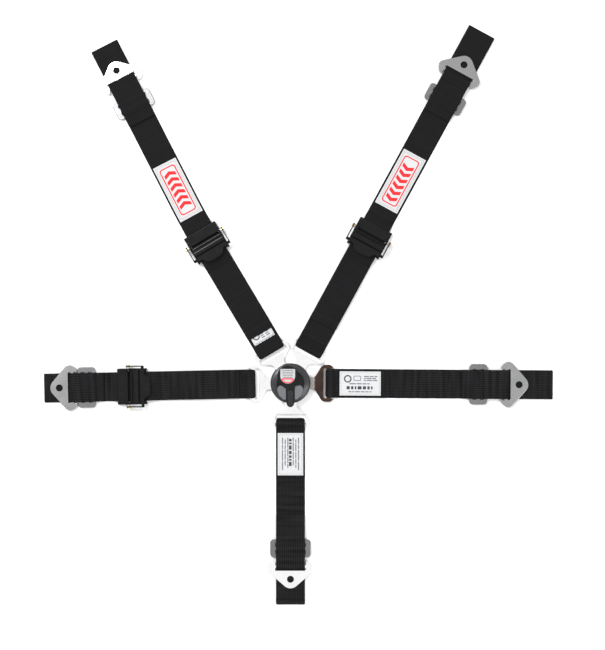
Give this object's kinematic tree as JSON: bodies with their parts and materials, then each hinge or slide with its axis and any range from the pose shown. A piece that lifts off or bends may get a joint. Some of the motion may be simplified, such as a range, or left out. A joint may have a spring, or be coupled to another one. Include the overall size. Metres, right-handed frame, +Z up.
{
  "type": "racing harness",
  "caption": "Flat-lying racing harness of two inch webbing: rotary camlock buckle, removable tongues, lever adjusters, three-bar slides and bolt-in brackets.",
  "frame": {"origin": "the centre of the buckle's back face, on the floor", "axes": "+X the right lap strap, +Y between the shoulder straps, -Y the crotch strap, +Z up, away from the wearer"},
  "size_m": [0.8802, 1.0025, 0.0314],
  "materials": {
    "webbing": "woven polyester webbing",
    "chrome_steel": "polished chrome",
    "satin_steel": "satin zinc plate",
    "slide_steel": "satin nickel plate",
    "dark_tongue": "dark plated steel",
    "black_steel": "satin black coating",
    "brass": "bright rivet",
    "cover_black": "gloss black",
    "handle_grey": "satin dark grey",
    "badge": "printed badge",
    "label_white": "woven label",
    "inner_steel": "plain steel"
  },
  "bodies": {
    "root": {"buckle_back_plate": "inner_steel", "buckle_body": "cover_black", "buckle_cover": "cover_black", "center_post": "inner_steel", "cover_screws": "inner_steel", "fixed_tongue_rivet": "inner_steel", "tongue_lap_right": "dark_tongue", "pin_springs": "inner_steel"},
    "handle": {"release_handle": "handle_grey", "handle_insert": "badge", "cam_ring": "inner_steel", "return_spring": "inner_steel"},
    "pins": {"lock_pins": "inner_steel"},
    "tongue_shoulder_left": {"tongue_shoulder_left": "chrome_steel"},
    "strap_shoulder_left": {"lower_web_shoulder_left": "webbing", "pull_tail_shoulder_left": "webbing", "label_shoulder_left": "label_white"},
    "adjuster_shoulder_left": {"adjuster_frame_shoulder_left": "black_steel", "lock_bar_shoulder_left": "black_steel", "lever_rivets_shoulder_left": "brass", "lever_springs_shoulder_left": "inner_steel", "upper_web_shoulder_left": "webbing", "slide_shoulder_left": "slide_steel", "patch_shoulder_left": "label_white"},
    "lever_shoulder_left": {"adjuster_lever_shoulder_left": "black_steel"},
    "bracket_shoulder_left": {"bracket_shoulder_left": "satin_steel"},
    "tongue_shoulder_right": {"tongue_shoulder_right": "chrome_steel"},
    "strap_shoulder_right": {"lower_web_shoulder_right": "webbing", "pull_tail_shoulder_right": "webbing"},
    "adjuster_shoulder_right": {"adjuster_frame_shoulder_right": "black_steel", "lock_bar_shoulder_right": "black_steel", "lever_rivets_shoulder_right": "brass", "lever_springs_shoulder_right": "inner_steel", "upper_web_shoulder_right": "webbing", "slide_shoulder_right": "slide_steel", "patch_shoulder_right": "label_white"},
    "lever_shoulder_right": {"adjuster_lever_shoulder_right": "black_steel"},
    "bracket_shoulder_right": {"bracket_shoulder_right": "satin_steel"},
    "tongue_lap_left": {"tongue_lap_left": "chrome_steel"},
    "strap_lap_left": {"lower_web_lap_left": "webbing", "pull_tail_lap_left": "webbing"},
    "adjuster_lap_left": {"adjuster_frame_lap_left": "black_steel", "lock_bar_lap_left": "black_steel", "lever_rivets_lap_left": "brass", "lever_springs_lap_left": "inner_steel", "upper_web_lap_left": "webbing", "slide_lap_left": "slide_steel"},
    "lever_lap_left": {"adjuster_lever_lap_left": "black_steel"},
    "bracket_lap_left": {"bracket_lap_left": "satin_steel"},
    "strap_lap_right": {"web_lap_right": "webbing", "slide_lap_right": "slide_steel", "label_lap_right": "label_white"},
    "bracket_lap_right": {"bracket_lap_right": "satin_steel"},
    "tongue_crotch": {"tongue_crotch": "chrome_steel"},
    "strap_crotch": {"web_crotch": "webbing", "slide_crotch": "slide_steel", "label_crotch": "label_white"},
    "bracket_crotch": {"bracket_crotch": "satin_steel"}
  },
  "joints": [
    {"name": "handle_turn", "type": "hinge", "parent": "root", "child": "handle", "pos_m": [0, 0, 0.0245], "axis": [0, 0, 1], "range_deg": [0, 60], "stiffness_Nm_per_rad": 0.1},
    {"name": "pin_lift", "type": "slide", "parent": "root", "child": "pins", "axis": [0, 0, 1], "range_m": [0, 0.005], "deforming": ["pin_springs"]},
    {"name": "tongue_release_shoulder_left", "type": "slide", "parent": "root", "child": "tongue_shoulder_left", "axis": [-0.512, 0.859, 0], "range_m": [0, 0.02]},
    {"name": "strap_swing_shoulder_left", "type": "hinge", "parent": "tongue_shoulder_left", "child": "strap_shoulder_left", "pos_m": [-0.03354, 0.05626, 0.0053], "axis": [0.859, 0.512, 0], "range_deg": [0, 40]},
    {"name": "adjuster_swing_shoulder_left", "type": "hinge", "parent": "strap_shoulder_left", "child": "adjuster_shoulder_left", "pos_m": [-0.13344, 0.22384, 0.0047], "axis": [0.859, 0.512, 0], "range_deg": [0, 20]},
    {"name": "lever_lift_shoulder_left", "type": "hinge", "parent": "adjuster_shoulder_left", "child": "lever_shoulder_left", "pos_m": [-0.14778, 0.2479, 0.012], "axis": [-0.859, -0.512, 0], "range_deg": [0, 55], "stiffness_Nm_per_rad": 0.05},
    {"name": "bracket_swing_shoulder_left", "type": "hinge", "parent": "adjuster_shoulder_left", "child": "bracket_shoulder_left", "pos_m": [-0.29014, 0.52003, 0.0058], "axis": [0.8901, 0.4559, 0], "range_deg": [0, 100]},
    {"name": "tongue_release_shoulder_right", "type": "slide", "parent": "root", "child": "tongue_shoulder_right", "axis": [0.4787, 0.878, 0], "range_m": [0, 0.02]},
    {"name": "strap_swing_shoulder_right", "type": "hinge", "parent": "tongue_shoulder_right", "child": "strap_shoulder_right", "pos_m": [0.03135, 0.05751, 0.0053], "axis": [0.878, -0.4787, 0], "range_deg": [0, 40]},
    {"name": "adjuster_swing_shoulder_right", "type": "hinge", "parent": "strap_shoulder_right", "child": "adjuster_shoulder_right", "pos_m": [0.12623, 0.23152, 0.0047], "axis": [0.878, -0.4787, 0], "range_deg": [0, 20]},
    {"name": "lever_lift_shoulder_right", "type": "hinge", "parent": "adjuster_shoulder_right", "child": "lever_shoulder_right", "pos_m": [0.13963, 0.25611, 0.012], "axis": [-0.878, 0.4787, 0], "range_deg": [0, 55], "stiffness_Nm_per_rad": 0.05},
    {"name": "bracket_swing_shoulder_right", "type": "hinge", "parent": "adjuster_shoulder_right", "child": "bracket_shoulder_right", "pos_m": [0.28903, 0.53013, 0.0058], "axis": [0.878, -0.4787, 0], "range_deg": [0, 100]},
    {"name": "tongue_release_lap_left", "type": "slide", "parent": "root", "child": "tongue_lap_left", "axis": [-0.9998, -0.0209, 0], "range_m": [0, 0.02]},
    {"name": "strap_swing_lap_left", "type": "hinge", "parent": "tongue_lap_left", "child": "strap_lap_left", "pos_m": [-0.06549, -0.00137, 0.0053], "axis": [-0.0209, 0.9998, 0], "range_deg": [0, 40]},
    {"name": "adjuster_swing_lap_left", "type": "hinge", "parent": "strap_lap_left", "child": "adjuster_lap_left", "pos_m": [-0.25155, -0.00527, 0.0047], "axis": [-0.0209, 0.9998, 0], "range_deg": [0, 20]},
    {"name": "lever_lift_lap_left", "type": "hinge", "parent": "adjuster_lap_left", "child": "lever_lap_left", "pos_m": [-0.27954, -0.00586, 0.012], "axis": [0.0209, -0.9998, 0], "range_deg": [0, 55], "stiffness_Nm_per_rad": 0.05},
    {"name": "bracket_swing_lap_left", "type": "hinge", "parent": "adjuster_lap_left", "child": "bracket_lap_left", "pos_m": [-0.37692, -0.00789, 0.0058], "axis": [-0.0209, 0.9998, 0], "range_deg": [0, 100]},
    {"name": "strap_swing_lap_right", "type": "hinge", "parent": "root", "child": "strap_lap_right", "pos_m": [0.0655, -0.00046, 0.0053], "axis": [-0.007, -1, 0], "range_deg": [0, 40]},
    {"name": "bracket_swing_lap_right", "type": "hinge", "parent": "strap_lap_right", "child": "bracket_lap_right", "pos_m": [0.37279, -0.0026, 0.0058], "axis": [-0.007, -1, 0], "range_deg": [0, 100]},
    {"name": "tongue_release_crotch", "type": "slide", "parent": "root", "child": "tongue_crotch", "axis": [0, -1, 0], "range_m": [0, 0.02]},
    {"name": "strap_swing_crotch", "type": "hinge", "parent": "tongue_crotch", "child": "strap_crotch", "pos_m": [0, -0.0655, 0.0053], "axis": [-1, 0, 0], "range_deg": [0, 40]},
    {"name": "bracket_swing_crotch", "type": "hinge", "parent": "strap_crotch", "child": "bracket_crotch", "pos_m": [0, -0.3166, 0.0058], "axis": [-1, 0, 0], "range_deg": [0, 100]}
  ],
  "couplings": [
    {"joint": "handle_turn", "follows": "pin_lift", "rad_per_m": 209.44},
    {"joint": "tongue_release_shoulder_left", "follows": "pin_lift", "ratio": 4},
    {"joint": "tongue_release_shoulder_right", "follows": "pin_lift", "ratio": 4},
    {"joint": "tongue_release_lap_left", "follows": "pin_lift", "ratio": 4},
    {"joint": "tongue_release_crotch", "follows": "pin_lift", "ratio": 4}
  ]
}
